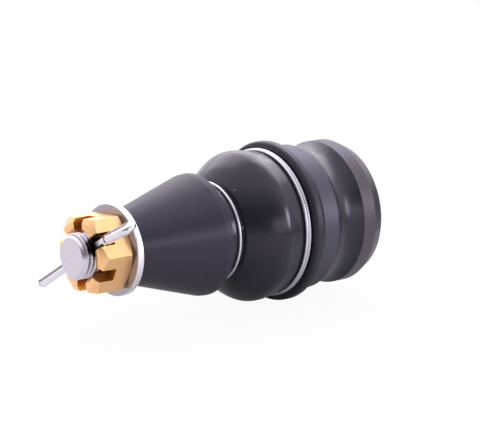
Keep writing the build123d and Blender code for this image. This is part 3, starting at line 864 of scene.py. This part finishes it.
def ring_finish():
    """Bright wire. The groove between the large ring's two turns is painted dark as painted shade:
    it lies half a pitch from the first turn, below the turns' tops."""
    plate = Finish("ring_bright", (0.74, 0.73, 0.80), 0.38, 0.8)
    # the groove between the turns is painted darker: painted shade
    middle = RING_LARGE_X + COIL_PITCH / 2
    groove = plate.both(plate.band(plate.axis("X"), middle - 0.13, middle + 0.13, 0.08),
                        plate.step(plate.radius(), RING_LARGE_R - 0.1, RING_LARGE_R - 0.25))
    plate.feed("Base Color", plate.blended(groove, (0.72, 0.71, 0.78), (0.36, 0.36, 0.40)))
    plate.bump(plate.noise((900, 900, 900)), 0.00001, 0.2)
    return plate.material


ring_material = ring_finish()
large_ring = wire_coil("boot_ring_large_wound", RING_LARGE_X, RING_LARGE_R)
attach(large_ring, "housing")
stand_for(large_ring, "boot_ring_large", ring_material)
small_ring = turned("boot_ring_small_welded", np.stack([
    RING_SMALL_X + WIRE_R * np.cos(wire_angle),
    RING_SMALL_R - WIRE_R + WIRE_R * np.sin(wire_angle)], 1))
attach(small_ring, "neck")
stand_for(small_ring, "boot_ring_small", ring_material)


# === Studio ======================================================================================
# Pale paper on the floor, all but clear to the camera, so that it shows a faint shadow and a stud
# swung below it still shows. Soft lights stand all round, the camera on the stud's near side.
AIM = Vector((0.0118, -0.0089, -0.0016))
DISTANCE, ELEVATION, AZIMUTH = 0.9313, np.radians(13.51), np.radians(51.825)


def placed(name, data, way, distance, centre=(0, 0, 0)):
    """An object that stands off a centre by a distance along a way, and looks back at it."""
    thing = bpy.data.objects.new(name, data)
    thing.location = Vector(centre) + Vector(way).normalized() * distance
    thing.rotation_mode = "QUATERNION"
    thing.rotation_quaternion = (-Vector(way)).to_track_quat("-Z", "Y")
    bpy.context.scene.collection.objects.link(thing)
    return thing


camera_way = (np.cos(AZIMUTH) * np.cos(ELEVATION), np.sin(AZIMUTH) * np.cos(ELEVATION),
              np.sin(ELEVATION))
camera = placed("camera", bpy.data.cameras.new("camera"), camera_way, DISTANCE, AIM)
camera.data.lens, camera.data.sensor_width = 225, 36
camera.data.clip_start, camera.data.clip_end = 0.05, 20
bpy.context.scene.camera = camera
bpy.context.scene.view_settings.view_transform = "Standard"


def rays(tree, **shares):
    """The sum of the shares given for a ray's kinds, such as Camera or Glossy. Light on its way to
    a matt surface has no share."""
    path = tree.nodes.new("ShaderNodeLightPath")
    total = None
    for kind, share in shares.items():
        part = tree.nodes.new("ShaderNodeMath")
        part.operation, part.use_clamp = "MULTIPLY_ADD", True
        part.inputs[1].default_value, part.inputs[2].default_value = share, 0
        tree.links.new(path.outputs[f"Is {kind} Ray"], part.inputs[0])
        if total:
            tree.links.new(total, part.inputs[2])
        total = part.outputs[0]
    return total


# In metres: the floor ends a little past the closed end, whose chamfer would mirror it.
FLOOR_REACH, FLOOR_EDGE_X = 3.0, -0.135
CLEAR, MIRRORED = 0.94, 0.1  # shares of plain white that the camera and reflections see
floor_z = cad_box[0][2]
floor_mesh = bpy.data.meshes.new("floor")
floor_mesh.from_pydata([(FLOOR_EDGE_X, -FLOOR_REACH, floor_z), (FLOOR_REACH, -FLOOR_REACH, floor_z),
                        (FLOOR_REACH, FLOOR_REACH, floor_z), (FLOOR_EDGE_X, FLOOR_REACH, floor_z)],
                       [], [(0, 1, 2, 3)])
floor = bpy.data.objects.new("floor", floor_mesh)
bpy.context.scene.collection.objects.link(floor)
paper = Finish("floor_paper", (0.66, 0.66, 0.66), 1.0, **{"Specular IOR Level": 0.0})
paper_glow = paper.node("ShaderNodeEmission", Color=(1, 1, 1, 1))
paper_lit = paper.node("ShaderNodeMixShader", {
    0: rays(paper.tree, Glossy=MIRRORED), 1: paper.shader.outputs[0], 2: paper_glow.outputs[0]})
# from below the paper is clear to every ray
paper_clear = paper.maths("MAXIMUM", rays(paper.tree, Camera=CLEAR, Transmission=CLEAR, Shadow=1.0),
                          paper.node("ShaderNodeNewGeometry").outputs["Backfacing"])
paper_mix = paper.node("ShaderNodeMixShader", {
    0: paper_clear, 1: paper_lit.outputs[0],
    2: paper.node("ShaderNodeBsdfTransparent").outputs[0]})
paper.tree.links.new(paper_mix.outputs[0], paper.tree.nodes["Material Output"].inputs[0])
floor.data.materials.append(paper.material)

# The room: bright overhead and behind the object, dim on the camera's side, and dark in a narrow
# gap past the closed end. Seen by the camera it is plain white.
BRIGHT_SIDE, SIDE_FADE, DIM, BRIGHT = (-0.40, -0.50, 0.77), (-0.15, 0.5), 0.12, 1.5
DARK_GAP, GAP_FADE = (-0.99, -0.04, -0.03), (0.93, 0.975)
world = bpy.data.worlds.new("studio")
bpy.context.scene.world = world
world.use_nodes = True
sky = world.node_tree
sky_place = sky.nodes.new("ShaderNodeTexCoord").outputs["Generated"]


def sky_ramp(direction, start, end, low, high):
    """Low to high as the dot product of the ray and a direction goes from start to end."""
    dot = sky.nodes.new("ShaderNodeVectorMath")
    dot.operation = "DOT_PRODUCT"
    dot.inputs[1].default_value = direction
    ramp = sky.nodes.new("ShaderNodeMapRange")
    for key, number in enumerate((start, end, low, high), 1):
        ramp.inputs[key].default_value = number
    sky.links.new(sky_place, dot.inputs[0])
    sky.links.new(dot.outputs["Value"], ramp.inputs[0])
    return ramp.outputs[0]


sky_level = sky.nodes.new("ShaderNodeMath")
sky_level.operation = "MULTIPLY"
sky.links.new(sky_ramp(BRIGHT_SIDE, *SIDE_FADE, DIM, BRIGHT), sky_level.inputs[0])
sky.links.new(sky_ramp(DARK_GAP, *GAP_FADE, 1.0, 0.0), sky_level.inputs[1])
sky_light = sky.nodes["Background"]
sky_light.inputs["Color"].default_value = (0.97, 0.93, 1.0, 1)
sky.links.new(sky_level.outputs[0], sky_light.inputs["Strength"])
sky_seen = sky.nodes.new("ShaderNodeBackground")
sky_seen.inputs["Color"].default_value = (1, 1, 1, 1)
sky_mix = sky.nodes.new("ShaderNodeMixShader")
sky.links.new(rays(sky, Camera=1.0, Transmission=1.0, Glossy=MIRRORED), sky_mix.inputs[0])
sky.links.new(sky_light.outputs[0], sky_mix.inputs[1])
sky.links.new(sky_seen.outputs[0], sky_mix.inputs[2])
sky.links.new(sky_mix.outputs[0], sky.nodes["World Output"].inputs[0])

# A strip beside the closed end gives the small highlights, a low one fills the near side, and big
# soft ones above and behind light the top. Each has its way, distance, size and power.
LAMPS = {
    "strip_light": ((-0.642, 0.738, 0.208), 1.6, (0.32, 0.55), 6.0),
    "near_fill": ((-0.05, 1.0, 0.16), 1.2, (1.4, 0.36), 3.2),
    "top_light": ((-0.75, -0.25, 0.61), 1.5, (0.9, 0.9), 5.5),
    "back_light": ((-0.33, -0.68, 0.65), 1.5, (1.5, 1.3), 9.5),
}
for name, (way, distance, size, power) in LAMPS.items():
    light = bpy.data.lights.new(name, "AREA")
    light.shape, light.energy, light.color = "RECTANGLE", power, (0.98, 0.95, 1.0)
    light.size, light.size_y = size
    placed(name, light, way, distance)
